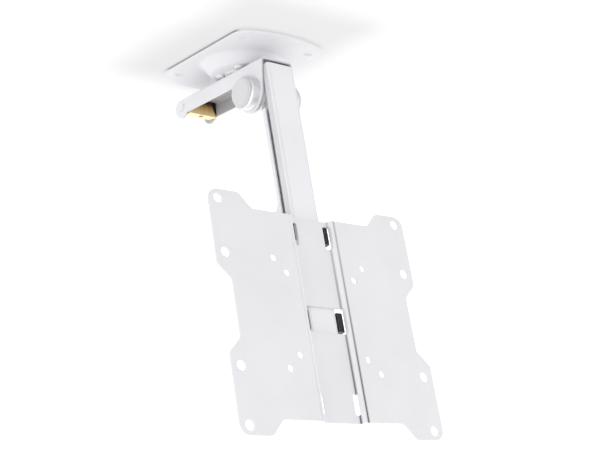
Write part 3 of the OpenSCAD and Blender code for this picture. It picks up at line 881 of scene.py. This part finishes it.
@dataclass(frozen=True)
class Shadow:
    """The shade drawn on the ceiling round the plate, and a painted contact shadow along one side of it.

    The lamps don't cast it, and it stays where it is in every pose.

    Args:
        middle: Its middle in X and Y, in metres.
        half: Its half size, without the soft border.
        border: The width of the soft border.
        kept: How much light is left in its middle.
        contact_shadow: The painted contact shadow's place along X, its half width and its half length.
        contact_shadow_kept: How much light is left in the painted contact shadow.
        contact_shadow_fade: How long its ends fade.
    """

    middle: tuple[float, float] = (-14 * MM, -28 * MM)
    half: tuple[float, float] = (51 * MM, 88 * MM)
    border: float = 60 * MM
    kept: float = 0.84
    contact_shadow: tuple[float, float, float] = (-48 * MM, 3.4 * MM, 66 * MM)
    contact_shadow_kept: float = 0.4
    contact_shadow_fade: float = 10 * MM

    def light(self, graph: Graph, x: bpy.types.NodeSocket, y: bpy.types.NodeSocket) -> bpy.types.NodeSocket:
        """Works out the share of light that is left on the ceiling.

        Args:
            graph: The ceiling material's graph.
            x: The place along X.
            y: The place along Y.

        Returns:
            The share's socket.
        """
        squares = []
        for axis, middle, half in zip((x, y), self.middle, self.half):
            away = graph.math("ABSOLUTE", graph.math("SUBTRACT", axis, middle))
            away = graph.math("MAXIMUM", graph.math("SUBTRACT", away, half), 0.0)
            squares.append(graph.math("MULTIPLY", away, away))
        away = graph.math("SQRT", graph.math("ADD", *squares))
        soft = graph.span(away, (0.0, self.border), (self.kept, 1.0))
        # The painted contact shadow along the plate's side.
        place, width, length = self.contact_shadow
        aside = graph.math("ABSOLUTE", graph.math("SUBTRACT", x, place))
        across = graph.span(aside, (0.0, width), (1 - self.contact_shadow_kept, 0.0))
        along = graph.span(graph.math("ABSOLUTE", y), (length - self.contact_shadow_fade, length), (1.0, 0.0))
        return graph.math("MULTIPLY", soft, graph.math("SUBTRACT", 1.0, graph.math("MULTIPLY", across, along)))


@dataclass
class Room:
    """The pale room that the mount hangs in: a ceiling, a floor, the lamps and the camera.

    Args:
        ceiling_gap: How far the ceiling lies above the plate.
        floor_level: The floor's height.
        span: The size of both.
        paint: The grey of their paint.
        glow: What lifts the paint to white for the eye round the mount, where no shadow falls.
        reach: How far from the mount the paint begins to turn white, and where it is white.
        shadow: The shade round the ceiling plate.
        light: The strength of the even light.
        focal: The lens in millimetres on a 36 mm sensor.
        eye: Where the camera stands.
        right: The camera's right direction.
        up: Its up direction.
        lamps: The soft lamps.
    """

    ceiling_gap: float = 0.003
    floor_level: float = -1.1
    span: float = 12.0
    paint: float = 0.78
    glow: float = 0.25
    reach: tuple[float, float] = (0.2, 0.9)
    shadow: Shadow = Shadow()
    light: float = 0.91
    focal: float = 78.776
    eye: Point = (-0.70874, -0.99291, -0.47114)
    right: Point = (0.79415, -0.60655, -0.03771)
    up: Point = (-0.11798, -0.21475, 0.96952)
    lamps: tuple[Lamp, ...] = (
        Lamp("key", (-2.3, -0.7, -0.5), (0, -0.05, -0.1), 1.0, 8.5),
        Lamp("side", (1.9, -0.3, -0.45), (0, 0, -0.05), 0.7, 7),
        Lamp("bounce", (0.2, -0.5, -2.0), (0, 0, -0.1), 1.6, 3.5),
    )

    def sheet(self, name: str, level: float, facing: float) -> None:
        """Adds a level sheet that shows from one side only.

        Args:
            name: The sheet's name.
            level: Its height.
            facing: 1 if it faces up and -1 if it faces down.
        """
        mesh = bpy.data.meshes.new(name)
        half = self.span / 2
        corners = [(-half, -half, level), (half, -half, level), (half, half, level), (-half, half, level)]
        mesh.from_pydata(corners, [], [(0, 1, 2, 3) if facing > 0 else (3, 2, 1, 0)])
        piece = bpy.data.objects.new(name, mesh)
        bpy.context.scene.collection.objects.link(piece)
        mesh.materials.append(self.wall(name, facing < 0))

    def wall(self, name: str, shaded: bool) -> bpy.types.Material:
        """Makes a white paint that keeps shadows, which only the eye and mirrors see, from its front.

        Args:
            name: The material's name.
            shaded: Whether it has the shade round the ceiling plate.

        Returns:
            The material.
        """
        graph = Graph(name)
        split = graph.add("SeparateXYZ", Vector=graph.position())
        away = graph.math("SQRT", graph.math("ADD", *(
            graph.math("MULTIPLY", split.outputs[axis], split.outputs[axis]) for axis in ("X", "Y"))))
        strength = graph.span(away, self.reach, (self.glow, 1.0))
        colour = (self.paint, self.paint, self.paint, 1.0)
        if shaded:
            light = self.shadow.light(graph, split.outputs["X"], split.outputs["Y"])
            colour = graph.ramp(light, ((0.0, (0.0, 0.0, 0.0)), (1.0, colour[:3])))
            strength = graph.math("MULTIPLY", light, strength)
        matt = graph.add("BsdfDiffuse", Color=colour)
        glow = graph.add("Emission", Strength=strength)
        paint = graph.add("AddShader")
        graph.put(paint.inputs[0], matt.outputs[0])
        graph.put(paint.inputs[1], glow.outputs[0])
        path = graph.add("LightPath").outputs
        seen = graph.math("MAXIMUM", path["Is Camera Ray"], path["Is Glossy Ray"])
        seen = graph.math("MAXIMUM", seen, path["Is Transmission Ray"])
        front = graph.math("SUBTRACT", 1.0, graph.add("NewGeometry").outputs["Backfacing"])
        mix = graph.add("MixShader", Fac=graph.math("MULTIPLY", seen, front))
        graph.put(mix.inputs[1], graph.add("BsdfTransparent").outputs[0])
        graph.put(mix.inputs[2], paint.outputs[0])
        return graph.finish(mix.outputs[0])

    def world(self) -> None:
        """Lights the room evenly, and shows white wherever nothing stands."""
        world = bpy.data.worlds.new("pale_room")
        bpy.context.scene.world = world
        world.use_nodes = True
        nodes, links = world.node_tree.nodes, world.node_tree.links
        nodes.clear()
        even = nodes.new("ShaderNodeBackground")
        even.inputs["Strength"].default_value = self.light
        even.inputs["Color"].default_value = (0.995, 0.99, 1.0, 1.0)
        white = nodes.new("ShaderNodeBackground")
        white.inputs["Color"].default_value = (1.0, 1.0, 1.0, 1.0)
        path = nodes.new("ShaderNodeLightPath")
        mix = nodes.new("ShaderNodeMixShader")
        links.new(path.outputs["Is Camera Ray"], mix.inputs[0])
        links.new(even.outputs[0], mix.inputs[1])
        links.new(white.outputs[0], mix.inputs[2])
        links.new(mix.outputs[0], nodes.new("ShaderNodeOutputWorld").inputs[0])

    def camera(self) -> None:
        """Sets up the camera at the fitted place."""
        data = bpy.data.cameras.new("camera")
        data.lens = self.focal
        data.sensor_width = 36.0
        data.clip_start = 0.01
        right, up = Vector(self.right).normalized(), Vector(self.up)
        back = right.cross(up).normalized()
        up = back.cross(right)
        turn = Matrix((right, up, back)).transposed().to_4x4()
        camera = bpy.data.objects.new("camera", data)
        camera.matrix_world = Matrix.Translation(self.eye) @ turn
        bpy.context.scene.collection.objects.link(camera)
        bpy.context.scene.camera = camera

    def build(self) -> None:
        """Adds the room, its light and the camera."""
        self.sheet("ceiling", self.ceiling_gap, -1)
        self.sheet("floor", self.floor_level, 1)
        self.world()
        for lamp in self.lamps:
            lamp.hang()
        self.camera()


def main() -> None:
    """Builds the room, dresses the mount's groups and sets the colour view."""
    logging.basicConfig(level=logging.INFO, format="%(name)s: %(message)s")
    bpy.context.scene.view_settings.view_transform = "Standard"
    Room().build()
    finishes = Finishes()
    white, zinc = Slot.WHITE, Slot.ZINC
    SwivelGroup(finishes, Body.CEILING, {
        "ceiling_plate": white, "backing_plate": zinc, "dish_rivets": white, "swivel_bolt": zinc,
        "swivel_disc": Slot.NYLON, "swivel_washer": zinc, "swivel_nut": zinc,
    }).build()
    SubAssembly(finishes, Body.BRACKET, {
        "channel_bracket": Slot.CHANNEL_INNER_SHADE, "hinge_drum_left": Slot.SATIN, "hinge_drum_right": Slot.SATIN,
        "hinge_cap_left": Slot.WHITE_PLASTIC, "hinge_cap_right": Slot.WHITE_PLASTIC, "hinge_bolt": zinc,
        "hinge_nut": zinc, "drum_washers": zinc, "disc_springs": zinc, "ear_washers": Slot.NYLON,
        "hinge_sleeve": zinc, "latch_pin": white, "latch_spring": zinc,
    }).build()
    SubAssembly(finishes, Body.POST, {
        "hinge_yoke": white, "post_core": Slot.STEEL, "post_front_shell": Slot.POST_FRONT_PAINTED_LIGHT, "post_back_shell": white,
        "post_top_cap": Slot.BLACK_PLASTIC, "post_foot_cap": Slot.BLACK_PLASTIC, "yoke_rivets": zinc,
        "striker": zinc, "striker_screws": zinc,
    }).build()
    ScreenGroup(finishes, Body.CARRIAGE, {
        "tv_plate": Slot.PLATE_CREASE_SHADE, "upper_clamp": Slot.BLACK_PLASTIC, "lower_clamp": Slot.BLACK_PLASTIC,
        "clamp_screws": zinc,
    }).build()
    SubAssembly(finishes, Body.LATCH, {"latch_plate": Slot.GOLD}).build()


if __name__ == "__main__":
    main()
